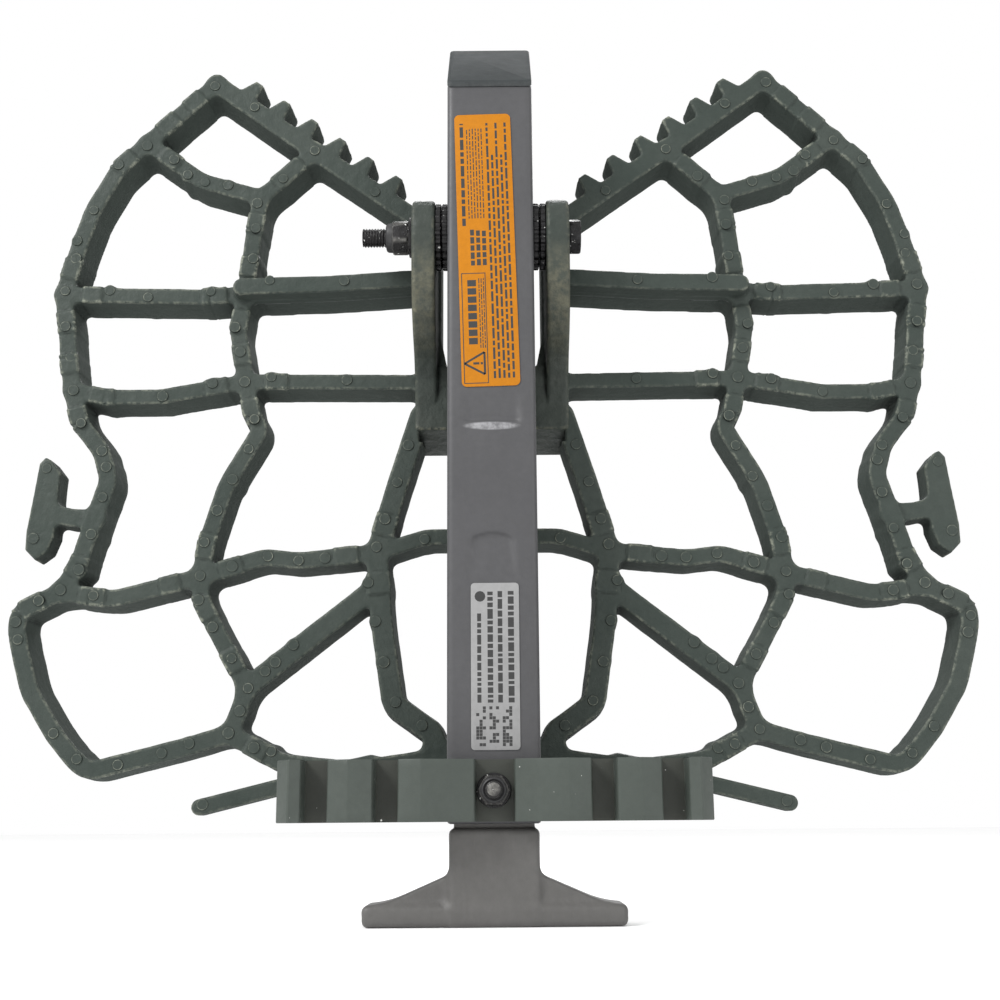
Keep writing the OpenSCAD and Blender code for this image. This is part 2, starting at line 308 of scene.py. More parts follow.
class Nodes:
    """A principled material, and short calls that add nodes to it."""

    def __init__(self, name):
        self.mat = bpy.data.materials.new(name)
        self.mat.use_nodes = True
        self.tree = self.mat.node_tree
        self.shader = self.tree.nodes["Principled BSDF"]
        self.coord = self.new("ShaderNodeTexCoord").outputs["Object"]

    def feed(self, socket, v):
        """Link a socket, or set it to a number, a vector or a colour."""
        if isinstance(v, bpy.types.NodeSocket):
            self.tree.links.new(v, socket)
        else:
            socket.default_value = v + (1,) if socket.type == "RGBA" else v

    def new(self, kind, **inputs):
        """Add a node, with its inputs by name."""
        node = self.tree.nodes.new(kind)
        for name, v in inputs.items():
            self.feed(node.inputs[name.replace("_", " ")], v)
        return node

    def split(self, source):
        """The X, Y and Z outputs of a vector."""
        return self.new("ShaderNodeSeparateXYZ", Vector=source).outputs

    def noise(self, scale, detail, rough, stretch=None):
        at = self.coord
        if stretch:
            at = self.new("ShaderNodeMapping", Vector=at, Scale=stretch[0], Rotation=stretch[1])
            at = at.outputs["Vector"]
        made = self.new("ShaderNodeTexNoise", Vector=at, Scale=scale, Detail=detail, Roughness=rough)
        return made.outputs["Fac"]

    def remap(self, src, a, b, c=0, d=1):
        made = self.new("ShaderNodeMapRange", Value=src, From_Min=a, From_Max=b, To_Min=c, To_Max=d)
        return made.outputs["Result"]

    def mix(self, fac, a, b):
        made = self.new("ShaderNodeMix")
        made.data_type = "RGBA"
        for name, v in (("Factor", fac), ("A", a), ("B", b)):
            self.feed(made.inputs[name], v)
        return made.outputs["Result"]

    def math(self, op, a, b):
        made = self.new("ShaderNodeMath")
        made.operation = op
        self.feed(made.inputs[0], a)
        self.feed(made.inputs[1], b)
        return made.outputs["Value"]

    def times(self, a, b):
        return self.math("MULTIPLY", a, b)

    def attribute(self, name, a, b):
        made = self.new("ShaderNodeAttribute")
        made.attribute_name = name
        return self.remap(made.outputs["Fac"], a, b)

    def pointiness(self, a, b):
        return self.remap(self.new("ShaderNodeNewGeometry").outputs["Pointiness"], a, b)

    def bump(self, height, strength, distance, **after):
        amount = dict(Strength=strength, Distance=distance)
        return self.new("ShaderNodeBump", Height=height, **amount, **after).outputs["Normal"]


def grey(v):
    return (v, v, v)


# Tones laid over a coat; the wall, crease and groove-floor tones are painted shade, the scuff and
# tan tones partly painted highlight
TAN = (0.11, 0.106, 0.074)
WALL_SHADE = (0.019, 0.024, 0.021)
CREASE_SHADE = (0.008, 0.01, 0.009)
GROOVE_SHADE = (0.028, 0.029, 0.023)
SCUFF_AND_GLINT = (0.3, 0.3, 0.31)
CHIP = (0.62, 0.62, 0.6)
# Heights in metres where the cheeks' tan patch fades in and out, and the Y where it ends
TAN_LOW, TAN_HIGH, TAN_BACK = (-0.068, -0.046), (-0.008, -0.026), (0.045, 0.03)


def paint(name, base, light, wear_and_glint, wear=(0.53, 0.6), rough=(0.38, 0.58), grain=0.25,
          cast=0.35, spec=0.5, metal=0.0, brushed=False, flecks=None, tan=False,
          wall_shade=1.0, floor_y=None, scuff_glint=None):
    """A coat in two tones, lighter on its corners where the paint wears thin and, with the mesh's
    edge measure, also with a painted highlight along the edges. wear is the pointiness of a
    corner, or None to use the edge measure; a wall factor under 1 paints shade on what does not
    face along Y; floor_y is the depth below which groove floors get painted shade; flecks is the
    scale and threshold of paint chips; the scuff spot is a height, half width and half height, and
    that spot is partly a scuff and partly a painted highlight; tan is the cheeks' tan patch,
    partly paint wear and partly a painted highlight."""
    m = Nodes(name)
    big = m.remap(m.noise(18, 5, 0.6), 0.3, 0.7)
    fine = m.remap(m.noise(260, 6, 0.65), 0.35, 0.7)
    colour = m.mix(m.times(big, 0.75), base, light)
    if tan:
        # the cheeks' tan patch: partly paint wear, partly a painted highlight on the cheeks' lower,
        # downward-facing faces
        at = m.split(m.coord)
        band = m.math("MINIMUM", m.remap(at["Z"], *TAN_LOW), m.remap(at["Z"], *TAN_HIGH))
        patch = m.times(m.times(band, m.remap(at["Y"], *TAN_BACK)),
                       m.remap(m.noise(190, 6, 0.7), 0.38, 0.6, 0.1, 0.75))
        colour = m.mix(patch, colour, TAN)
    dark = tuple(v * 0.72 for v in base)
    colour = m.mix(m.times(fine, 0.35), colour, dark)
    if wall_shade < 1:
        # painted shade: the sides of the struts are darkened against the faces
        facing = m.split(m.tree.nodes["Texture Coordinate"].outputs["Normal"])
        side = m.remap(m.math("ABSOLUTE", facing["Y"], 0), 0.12, 0.45, 1, 0)
        colour = m.mix(m.times(side, 1 - wall_shade), colour, WALL_SHADE)
    broken = m.remap(m.noise(420, 5, 0.7), 0.42, 0.62)
    if wear:
        edge = m.pointiness(*wear)
        edge = m.times(edge, m.math("ADD", m.times(broken, 0.6), 0.4))
    else:
        # corners are lightened in patches, partly for paint wear and partly as a painted highlight
        # along the edges, and painted shade darkens the creases
        patch = m.remap(m.noise(38, 3, 0.6), 0.4, 0.62, 0.25, 1)
        edge = m.times(m.attribute("edge", 0.3, 0.75), m.times(broken, patch))
        colour = m.mix(m.attribute("edge", -0.12, -0.6), colour, CREASE_SHADE)
    # corner tone: paint wear, and with the edge measure also a painted highlight along the edges
    colour = m.mix(m.math("MINIMUM", m.times(edge, 0.8), 1), colour, wear_and_glint)
    if scuff_glint:
        # a bright spot on the lower lip of the upper dent: partly a scuff, partly a painted
        # highlight where the lip catches light
        height, half_wide, half_high = scuff_glint
        at = m.split(m.coord)
        across = m.math("POWER", m.math("DIVIDE", at["X"], half_wide), 2)
        up = m.math("DIVIDE", m.math("SUBTRACT", at["Z"], height), half_high)
        spot = m.remap(m.math("ADD", across, m.math("POWER", up, 2)), 1.1, 0.5)
        spot = m.times(spot, m.remap(m.noise(210, 5, 0.7), 0.35, 0.6, 0.15, 0.75))
        colour = m.mix(spot, colour, SCUFF_AND_GLINT)
    if floor_y is not None:
        # painted shade on the floors of the bar's grooves, deeper than floor_y
        deep = m.remap(m.split(m.coord)["Y"], floor_y - 0.0006, floor_y - 0.0001)
        colour = m.mix(m.times(deep, 0.75), colour, GROOVE_SHADE)
    if flecks:
        scale, threshold = flecks
        chips = m.remap(m.noise(scale, 2, 0.4), threshold, threshold + 0.012)
        colour = m.mix(chips, colour, CHIP)
    m.feed(m.shader.inputs["Base Color"], colour)
    gloss = m.remap(m.noise(90, 5, 0.6), 0.3, 0.7, *rough)
    if wall_shade < 1:
        gloss = m.math("MAXIMUM", gloss, m.times(side, 0.92))
    m.feed(m.shader.inputs["Roughness"], gloss)
    m.feed(m.shader.inputs["Specular IOR Level"], spec)
    m.feed(m.shader.inputs["Metallic"], metal)
    if brushed:
        h = m.noise(700, 3, 0.5, ((1, 1, 0.06), (0, math.radians(62), 0)))
    else:
        h = m.noise(1400, 3, 0.6)
    fine_bump = m.bump(h, grain, 0.0004)
    bump = m.bump(m.noise(170, 4, 0.55), cast, 0.0012, Normal=fine_bump)
    m.feed(m.shader.inputs["Normal"], bump)
    return m.mat


CAST = paint("cast_paint", (0.031, 0.04, 0.035), (0.05, 0.059, 0.052), (0.24, 0.25, 0.2),
             spec=0.12, cast=0.6, grain=0.35, wall_shade=0.66, wear=None)
HUBP = paint("hub_paint", (0.03, 0.038, 0.033), (0.048, 0.053, 0.046), (0.25, 0.24, 0.17),
             cast=0.8, rough=(0.35, 0.6), wear=None, spec=0.15, tan=True, wall_shade=0.62)
POSTP = paint("post_paint", (0.053, 0.053, 0.0555), (0.066, 0.066, 0.069), grey(0.24),
              cast=0.1, grain=0.12, rough=(0.42, 0.55), wear=(0.56, 0.66), spec=0.3,
              scuff_glint=(-0.109, 0.014, 0.0022))
CAPP = paint("cap_paint", (0.04, 0.044, 0.045), (0.047, 0.051, 0.052), (0.2, 0.21, 0.21),
             cast=0.1, grain=0.12, rough=(0.6, 0.7), wear=(0.56, 0.66), spec=0.03)
FOOTP = paint("foot_paint", (0.082, 0.08, 0.077), (0.104, 0.101, 0.097), (0.3, 0.3, 0.29),
              cast=0.15, grain=0.5, rough=(0.42, 0.56), brushed=True, wear=(0.55, 0.64), spec=0.3)
BARP = paint("bar_paint", (0.043, 0.052, 0.045), (0.054, 0.064, 0.056), (0.3, 0.33, 0.3),
             cast=0.08, grain=0.12, rough=(0.45, 0.58), wear=(0.6, 0.75), flecks=(420, 0.77),
             spec=0.3, floor_y=-0.006)
STEEL = paint("black_steel", (0.006, 0.006, 0.007), (0.012, 0.011, 0.011), (0.2, 0.195, 0.18),
              cast=0.5, grain=0.6, rough=(0.16, 0.5), spec=0.3, flecks=(600, 0.72))
ZINC = paint("zinc_steel", (0.42, 0.42, 0.43), grey(0.5), grey(0.7),
             metal=1.0, rough=(0.25, 0.4))
NYLON = paint("nylon", (0.01, 0.01, 0.011), (0.018, 0.018, 0.019), grey(0.05),
              cast=0.05, grain=0.1, rough=(0.45, 0.6), spec=0.3)
ORANGE = paint("orange_vinyl", (0.36, 0.128, 0.003), (0.39, 0.142, 0.004), (0.48, 0.22, 0.02),
               cast=0.04, grain=0.05, rough=(0.34, 0.46), wear=(0.7, 0.9), spec=0.2)
SILVER = paint("silver_foil", (0.235, 0.235, 0.236), (0.27, 0.27, 0.268), grey(0.36),
               cast=0.04, grain=0.05, rough=(0.35, 0.5), metal=0.15, wear=(0.7, 0.9), spec=0.2)
INK = paint("label_ink", grey(0.012), grey(0.02), grey(0.05),
            cast=0.02, grain=0.05, rough=(0.5, 0.65), wear=(0.8, 0.95))


def finish_piece(ob, body, slot, *nodes):
    """Hide the CAD nodes a piece stands for and hang it on the empty of the body it rides on; slot
    is not used.
    """
    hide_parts(*nodes)
    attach(ob, body)


# ---- platform casting

LEFT_NAMES = ("rack", "rim", "upper_beam", "lower_beam", "web", "spoke", "tail_rim",
              "stays", "leg", "horn", "gear_hook")
CAST_NODES = ["bridge", "tail_bridge"] + [f"{n}_{s}" for n in LEFT_NAMES
                                          for s in ("left", "right")]
STEP = 0.75                             # cell of the casting's grid
FILLET = 3.6                            # where struts meet
BOSS_R, BOSS_FILLET = 3.7, 1.6          # swelling of a strut around a pin mark
BOSS_X, BOSS_Z = -230, -284             # pin marks further out or lower have no swelling
HUB_EDGE = ((-33.4, -35), (6.8, 63), 1.5)   # outer part of the hub: middle, half sizes, corner
# Pads: their length, the gaps after and before a junction, how often, extra half width
PAD_LENGTH, PAD_GAPS, PAD_CHANCE, PAD_EXTRA = (11, 15), (10, 9), 0.85, 0.9
PAD_H, PAD_SIDE = 0.9, 0.6              # how far a pad stands off the face and the sides
FACE_DROP = 1.0                         # plain face below the pads' faces
DRAFT, WIDEST = 0.45, 0.8               # struts widen with depth up to this share of it
RIB_HALF, RIB_DROP = 5.0, 0.8           # half width, and its face below the CAD's
GRID_LOW, GRID_TOP, GRID_SIDE = -300, 118, 20   # bottom, top and room beside the rim
# The hub's own mesh takes over inside these: half width, bottom and top
HUB_HALF, HUB_LOW, HUB_TOP = 38.5, -104, 14
# Pin marks on the gear hook lie further out and higher, those on the rib further in
HOOK_PIN_X, HOOK_PIN_Z, RIB_PIN_X = -233, -160, -128


def lattice_plan(x, z):
    """Flat distance to the left half of the lattice."""
    out = None
    for half, pts in CHAINS.values():
        d = chain(x, z, eased(pts)) - half
        out = d if out is None else smin(out, d, FILLET)
    rack = chain(x, z, RACK) - RACK_HALF
    (ax, az), (bx, bz) = RACK_TIP, RACK_END
    length = math.dist(RACK_TIP, RACK_END)
    ux, uz = (bx - ax) / length, (bz - az) / length
    u = (x - ax) * ux + (z - az) * uz
    v = (z - az) * ux - (x - ax) * uz
    for i in range(TOOTH_COUNT):
        c = TOOTH_START + i * TOOTH_PITCH
        rack = smin(rack, convex(u - c, v - TOOTH_FOOT, TOOTH), 1.2)
    # with the hub's outer part, every strut meets it with a fillet
    out = smin(smin(out, rack, FILLET), rounded_box((x, z), *HUB_EDGE), FILLET)
    for mx, mz in PIN_MARKS:
        if mx > BOSS_X and mz > BOSS_Z:
            out = smin(out, np.hypot(x - mx, z - mz) - BOSS_R, BOSS_FILLET)
    return out


def run_field(x, z, pts, start, stop, half, overlap=0.6):
    """Depth of each point inside a stretch of a chain; its straights overlap at bends."""
    out, s = None, 0.0
    for a, b in zip(pts, pts[1:]):
        length = math.dist(a, b)
        lo, hi = max(start - s, 0), min(stop - s, length)
        if hi > lo:
            dx, dz = (b[0] - a[0]) / length, (b[1] - a[1]) / length
            u = (x - a[0]) * dx + (z - a[1]) * dz
            v = np.abs((x - a[0]) * dz - (z - a[1]) * dx)
            ends = np.minimum(u - lo, hi - u) + (overlap if hi == length else 0)
            d = np.minimum(ends, half - v)
            out = d if out is None else np.maximum(out, d)
        s += length
    return out


def pads(x, z):
    """Raised step pads beside each junction: 1 on a pad, 0 off it."""
    after, before = PAD_GAPS
    out = np.zeros(np.broadcast(x, z).shape, np.float32)
    for name, (half, pts) in CHAINS.items():
        if name in ("bridge", "arch"):
            continue
        s, at = 0.0, []
        for a, b in zip(pts, pts[1:] + [None]):
            if a in JUNCTIONS:
                at.append(s)
            if b:
                s += math.dist(a, b)
        for j in at:
            size = random.uniform(*PAD_LENGTH)
            for lo, hi in ((j + after, j + after + size), (j - before - size, j - before)):
                if lo > 0 and hi < s and random.random() < PAD_CHANCE:
                    d = run_field(x, z, pts, lo, hi, half + PAD_EXTRA)
                    if d is not None:
                        out = np.maximum(out, np.clip(d, 0, 1))
    return out


def slab(plan, y, front, back, k):
    """A flat outline between two depths, with its edges rounded off."""
    return smax(plan[:, None, :], np.abs(y - (front + back) / 2) - (back - front) / 2, k)


def casting():
    """The left half of the casting as a mesh, and the height of the pads on it."""
    low = [RIM[0][0] - GRID_SIDE, RIB_Y - 2, GRID_LOW]
    x, y, z = grid(low, [2 * STEP, LAT_BACK + 2, GRID_TOP], STEP)
    ax = -np.abs(x)
    flat_x, flat_z = ax[:, 0, :], z[:, 0, :]
    plan = lattice_plan(flat_x, flat_z)
    raised = pads(flat_x, flat_z)
    # the slight waviness of a sand casting
    lumps = 0.08 * (np.sin(flat_x * 0.41 + 1.3 * np.sin(flat_z * 0.23))
                    * np.sin(flat_z * 0.37 + np.sin(flat_x * 0.31)))
    front = LAT_Y + FACE_DROP - PAD_H * raised
    plan = plan - PAD_SIDE * raised + lumps
    plan, front = plan[:, None, :], front[:, None, :]
    depth = (y - LAT_Y) / (LAT_BACK - LAT_Y)
    draft = (DRAFT - 2 * DRAFT * np.clip(depth, -0.4, WIDEST) / WIDEST
             + 0.6 * np.clip(depth - WIDEST, 0, 1))
    body = smax(plan + draft, front - y, 1.0)
    # the deeper ribs of the upper beam, which run into the hub's cheeks
    rib = (chain(flat_x, flat_z, RIB) - RIB_HALF + lumps)[:, None, :] + 0.04 * (LAT_Y - y)
    rib = smax(smax(rib, RIB_Y + RIB_DROP - y, 1.2), y - LAT_Y - 4, 1)
    body = smin(body, rib, 2.5)
    body = smax(body, y - LAT_BACK + 0.05, 1.2)
    horn = slab(chain(flat_x, flat_z, HORN) - HORN_HALF, y, THIN_Y, HORN_BACK, 1.6)
    hook = smin(chain(flat_x, flat_z, HOOK_STEM) - STEM_HALF,
                polygon_sdf(flat_x, flat_z, HOOK_HEAD), 4)
    hook = slab(hook, y, THIN_Y, THIN_BACK, 1.2)
    field = smin(smin(body, horn, 3), hook, 3)
    # the hub's block and cheeks take over between their outer faces
    in_hub = np.maximum(np.maximum(-ax - HUB_HALF, HUB_LOW - z), z - HUB_TOP)
    field = np.maximum(field, -in_hub)
    verts, quads, edge = net(field.astype(np.float32), low, STEP)

    def pad_at(px, pz):
        return float(raised[int(round((px - low[0]) / STEP)), int(round((pz - low[2]) / STEP))])

    return verts, quads, edge, pad_at


def both_halves(verts, quads, edge):
    """The part of a mesh left of X = 0, drawn onto that plane, and its mirror image."""
    left = verts[quads][:, :, 0].mean(axis=1) < 0.25 * STEP * MM
    used, quads = np.unique(quads[left], return_inverse=True)
    verts, quads, edge = verts[used], quads.reshape(-1, 4), edge[used]
    seam = verts[:, 0] > -0.3 * STEP * MM
    verts[seam, 0] = 0
    # a vertex on the seam serves both halves
    own = np.arange(len(verts))
    far = np.where(seam, own, own + len(verts))[quads][:, ::-1]
    return (np.concatenate([verts, verts * np.array([-1, 1, 1])]),
            np.concatenate([quads, far]), np.concatenate([edge, edge]))


def disc(centre, r, y0, height, ring=22):
    """A raised ejector-pin mark: a low flat button facing -Y."""
    # radius, height and edge measure of each ring
    rows = [(r + 0.1, 0.5, -1), (r, -height * 0.3, -0.6), (r - 0.3, -height, 0.8),
            (r - 0.42, -height, 0.7), (r - 0.8, -height, 0.1), (0.3, -height, 0)]
    verts, edge = [], []
    for radius, dy, bend in rows:
        edge += [bend] * ring
        for i in range(ring):
            a = 2 * math.pi * i / ring
            verts.append(((centre[0] + radius * math.cos(a)) * MM, (y0 + dy) * MM,
                          (centre[1] + radius * math.sin(a)) * MM))
    return verts, stacked(ring, len(rows)), edge


def platform_casting():
    """Both halves of the casting, with its pin marks as low buttons on the face."""
    verts, quads, edges, pad_at = casting()
    verts, quads, edges = both_halves(verts, quads, edges)
    verts, faces, edges = [tuple(v) for v in verts], [tuple(f) for f in quads], list(edges)
    for mx, mz in PIN_MARKS:
        if chain(mx, mz, HORN) < 3 or mx < HOOK_PIN_X and mz > HOOK_PIN_Z:
            base = THIN_Y + 0.1
        elif chain(mx, mz, RIB) < 4 and mx > RIB_PIN_X:
            base = RIB_Y + RIB_DROP
        else:
            base = LAT_Y + FACE_DROP - PAD_H * pad_at(mx, mz)
        for s in (1, -1):
            v, f, e = disc((s * mx + random.uniform(-0.4, 0.4), mz + random.uniform(-0.4, 0.4)),
                           random.uniform(2.7, 3.1), base, random.uniform(0.45, 0.7))
            n = len(verts)
            verts += v
            faces += [tuple(n + i for i in q) for q in f]
            edges += e
    return mesh_object("platform_casting", verts, faces, CAST, edge=edges)


finish_piece(platform_casting(), "platform", "platform_paint", *CAST_NODES)

# ---- hub and cheeks

CHEEK = HUB[1][0]                       # outer face of the hinge cheeks
# The cheeks and the cross member from the side, as (y, z), and the eye around the bore
CHEEK_SIDE = [(HINGE_Y - 17.5, -6), (7.5, -30), (13.5, -43.5), (23.5, -53.5), (35.3, -61.5),
              (42.3, -70.5), (LAT_Y, -85), (LAT_Y, -97.5), (LAT_BACK, -106.5),
              (LAT_BACK, 29.5), (LAT_Y + 2, 29.5), (HINGE_Y + 4, 17)]
BLOCK_SIDE = [(LAT_Y, -64), (LAT_BACK, -64), (LAT_BACK, -106.5), (LAT_Y, -97.5)]
EYE_R, BORE_R = 19, 5.4


def hub():
    """Cheeks around the hinge bolt, cross member, and the cheeks' widening behind the post."""
    step = 0.8
    low, (x, y, z) = around(HUB, step)
    cheek_in = mm_box("platform_discs")[1][0]
    side = polygon_sdf(y[0], z[0], CHEEK_SIDE)
    side = smin(side, np.hypot(y[0] - HINGE_Y, z[0]) - EYE_R, 3)
    plate = np.abs(np.abs(x) - (CHEEK + cheek_in) / 2) - (CHEEK - cheek_in) / 2
    cheeks = smax(side[None], plate, 2.4)
    block = smax(polygon_sdf(y[0], z[0], BLOCK_SIDE)[None], np.abs(x) - CHEEK, 2)
    flare = polygon_sdf(-np.abs(x)[:, 0, :], z[:, 0, :], [
        (-cheek_in - 3, 28), (-cheek_in + 2, 28), (-cheek_in + 2, -48), (-23.2, -66), (-23.2, -72),
        (-cheek_in - 3, -72)])
    flare = slab(flare, y, LAT_Y, LAT_BACK - 1, 1.5)
    body = smin(np.minimum(cheeks, block), flare, 3)
    body = smax(body, y - LAT_BACK + 0.05, 1.5)
    body = smax(body, BORE_R - np.hypot(y - HINGE_Y, z), 0.8)
    return solid("hinge_hub", body, low, step, HUBP)


finish_piece(hub(), "platform", "platform_paint", "hub")

# ---- turned and lofted parts

HX = (0, HINGE_Y, 0)                    # the hinge line
AXIS = 0.02                             # radius that closes a solid part on its axis
BEVEL = 0.3                             # broken corner of a turned part


def loft(name, rows, mat, axis="x", at=HX, ring=96, smooth=False):
    """Closed piece of rings; a row is (position, radius, or a function of the angle)."""
    verts, faces = [], []
    for pos, rad in rows:
        for i in range(ring):
            a = 2 * math.pi * i / ring
            r = rad(a) if callable(rad) else rad
            c, s = r * math.cos(a), r * math.sin(a)
            p = (pos, c, s) if axis == "x" else (s, pos, c)
            verts.append(tuple((q + o) * MM for q, o in zip(p, at)))
    n = len(rows)
    for j in range(n):
        jj = (j + 1) % n
        for i in range(ring):
            k = (i + 1) % ring
            faces.append((j * ring + i, jj * ring + i, jj * ring + k, j * ring + k))
    ob = mesh_object(name, verts, faces, mat, smooth)
    return ob if smooth else shade_by_angle(ob, 38)


def shade_by_angle(ob, degrees):
    """Smooth shading with sharp edges where faces meet at more than an angle."""
    me = ob.data
    me.polygons.foreach_set("use_smooth", [True] * len(me.polygons))
    me.update()
    faces_of = {}
    for p in me.polygons:
        for key in p.edge_keys:
            faces_of.setdefault(key, []).append(p.normal.copy())
    limit = math.radians(degrees)
    for e in me.edges:
        normals = faces_of.get(tuple(sorted(e.vertices)), [])
        if len(normals) == 2 and normals[0].length and normals[1].length:
            e.use_edge_sharp = normals[0].angle(normals[1], 0) > limit
    return ob


def hexagon(flats, limit):
    """Radius of a hexagon at an angle, with its corners turned down to limit."""
    def rad(a):
        b = (a + math.pi / 6) % (math.pi / 3) - math.pi / 6
        return min(flats / 2 / math.cos(b), limit)
    return rad


def hex_ring(name, x0, x1, flats, hole, axis="x", at=HX):
    """A nut, or with no hole a bolt's head with a shallow dish in it."""
    corner = flats / math.sqrt(3)
    inner = hole or AXIS
    step = 1 if x1 > x0 else -1
    face, turned, full = corner * 0.86, hexagon(flats, corner * 0.89), hexagon(flats, corner * 0.985)
    rows = [(x0, inner), (x0, face), (x0 + 0.12 * step, turned), (x0 + 0.9 * step, full),
            (x1 - 0.9 * step, full), (x1 - 0.12 * step, turned), (x1, face),
            (x1 - 0.3 * step, inner + (0.4 if hole else 3)), (x1 - 0.35 * step, inner)]
    return loft(name, rows, STEEL, axis, at)


def thread(name, x0, x1, d, pitch, at=HX):
    """A threaded rod, cut as a true helix, with a chamfer at both ends."""
    steps = max(8, int((x1 - x0) / pitch * 10))
    crest, cut = d / 2 - 0.02, 0.51 * pitch
    rows = [(x0, AXIS)]
    for i in range(steps + 1):
        x = x0 + (x1 - x0) * i / steps
        taper = 0.82 + 0.18 * max(0, min(1.0, (x1 - x) / 1.2, (x - x0) / 0.4 + 0.7))

        def rad(a, x=x, taper=taper):
            turn = (x / pitch + a / (2 * math.pi)) % 1
            return (crest - cut * (1 - abs(2 * turn - 1))) * taper
        rows.append((x, rad))
    rows.append((x1, AXIS))
    return loft(name, rows, STEEL, "x", at, ring=40, smooth=True)


def flat_ring(name, x0, x1, hole, r, mat=STEEL, axis="x", at=HX, bevel=BEVEL):
    """A washer or sleeve with its outer corners broken."""
    return loft(name, [(x0, hole), (x0, r - BEVEL), (x0 + bevel, r), (x1 - bevel, r),
                       (x1, r - BEVEL), (x1, hole)], mat, axis, at)


def rod(name, x0, x1, r, axis="x", at=HX):
    """A plain round bar of black steel."""
    return loft(name, [(x0, AXIS), (x0, r), (x1, r), (x1, AXIS)], STEEL, axis, at)


def join(name, *obs):
    """One piece out of several, which keeps their materials and sharp edges."""
    verts, faces, mats, index, smooth, sharp = [], [], [], [], [], set()
    for ob in obs:
        me, n = ob.data, len(verts)
        for m in me.materials:
            if m not in mats:
                mats.append(m)
        slots = [mats.index(m) for m in me.materials]
        verts += [tuple(v.co) for v in me.vertices]
        for p in me.polygons:
            faces.append(tuple(n + v for v in p.vertices))
            index.append(slots[p.material_index])
            smooth.append(p.use_smooth)
        sharp |= {tuple(sorted(n + v for v in e.vertices)) for e in me.edges if e.use_edge_sharp}
        bpy.data.objects.remove(ob)
    me = bpy.data.meshes.new(name)
    me.from_pydata(verts, [], faces)
    for m in mats:
        me.materials.append(m)
    me.polygons.foreach_set("material_index", index)
    me.polygons.foreach_set("use_smooth", smooth)
    for e in me.edges:
        e.use_edge_sharp = tuple(sorted(e.vertices)) in sharp
    me.update()
    out = bpy.data.objects.new(name, me)
    bpy.context.collection.objects.link(out)
    return out


BOLT, NUT = mm_box("hinge_bolt"), mm_box("hinge_nut")
RINGB, WASH = mm_box("hinge_nut_ring"), mm_box("hinge_washer")
HINGE_FLATS, BAR_FLATS = 16.9, 12.9     # M10 and M8 hexagons, a hair under size

# the plain shank runs from the head to just past the far cheek; the rest is threaded
parts = [thread("thread", BOLT[0][0], -CHEEK - 1, 10, 1.5),
         rod("shank", -CHEEK - 1.2, CHEEK + 1, 4.96),
         hex_ring("head", CHEEK + 0.02, BOLT[1][0], HINGE_FLATS, 0)]
finish_piece(join("hinge_bolt_shown", *parts), "platform", "black_steel", "hinge_bolt")
finish_piece(hex_ring("hinge_nut_shown", NUT[1][0], NUT[0][0], HINGE_FLATS, 4.4),
             "platform", "black_steel", "hinge_nut")
collar = loft("hinge_nut_collar", [
    (RINGB[1][0], 4.5), (RINGB[1][0], 7.7), (RINGB[0][0] + 1.2, 7.6), (RINGB[0][0] + 0.3, 7.0),
    (RINGB[0][0], 6.2), (RINGB[0][0] + 0.5, 5.4), (RINGB[0][0] + 0.7, 4.5)], NYLON)
finish_piece(collar, "platform", "nylon", "hinge_nut_ring")
finish_piece(flat_ring("hinge_washer_shown", WASH[0][0], WASH[1][0], 5.3, 10.4),
             "platform", "black_steel", "hinge_washer")


NOTCHES, NOTCH_DEPTH = 24, 1.0          # on the rim of a locking disc


def knurl(name, x0, x1, outer):
    """A locking disc."""
    def rim(extra):
        def rad(a):
            w = 0.5 + 0.5 * math.cos(NOTCHES * a)
            return outer - 1.1 + NOTCH_DEPTH * min(1, max(0, w * 1.7 - 0.35)) - extra
        return rad
    rows = [(x0, 5.2), (x0, rim(1.0)), (x0 + 0.5, rim(0.05)), ((x0 + x1) / 2, rim(0)),
            (x1 - 0.5, rim(0.05)), (x1, rim(1.0)), (x1, 5.2)]
    return loft(name, rows, STEEL, ring=192)


PD, SD = mm_box("platform_discs"), mm_box("post_discs")
DISC_R, DISC_T = PD[1][2], SD[1][0] - POST[1][0]
for box, body, node in ((PD, "platform", "platform_discs"), (SD, "post", "post_discs")):
    pair = [knurl("a", box[0][0], box[0][0] + DISC_T, DISC_R),
            knurl("b", box[1][0] - DISC_T, box[1][0], DISC_R)]
    finish_piece(join(node + "_shown", *pair), body, "black_steel", node)

# ---- post, cap and foot

POST_W = POST[1][0] - POST[0][0]        # the tube is square
WALL, CORNER, BOLT_HOLE = 3, 3.0, 5.1
SLOPE_Z = POST[1][2] - POST_W           # where the sloping top starts, on the tree side
# Pressed hollows on the tree side: the sharp edge's height, the other end's height,
# half width, depth and how arched the sharp edge is
DENTS = [(-107, -90, 15, 1.8, 0.5), (-162, -188, 11, 2.0, 3)]


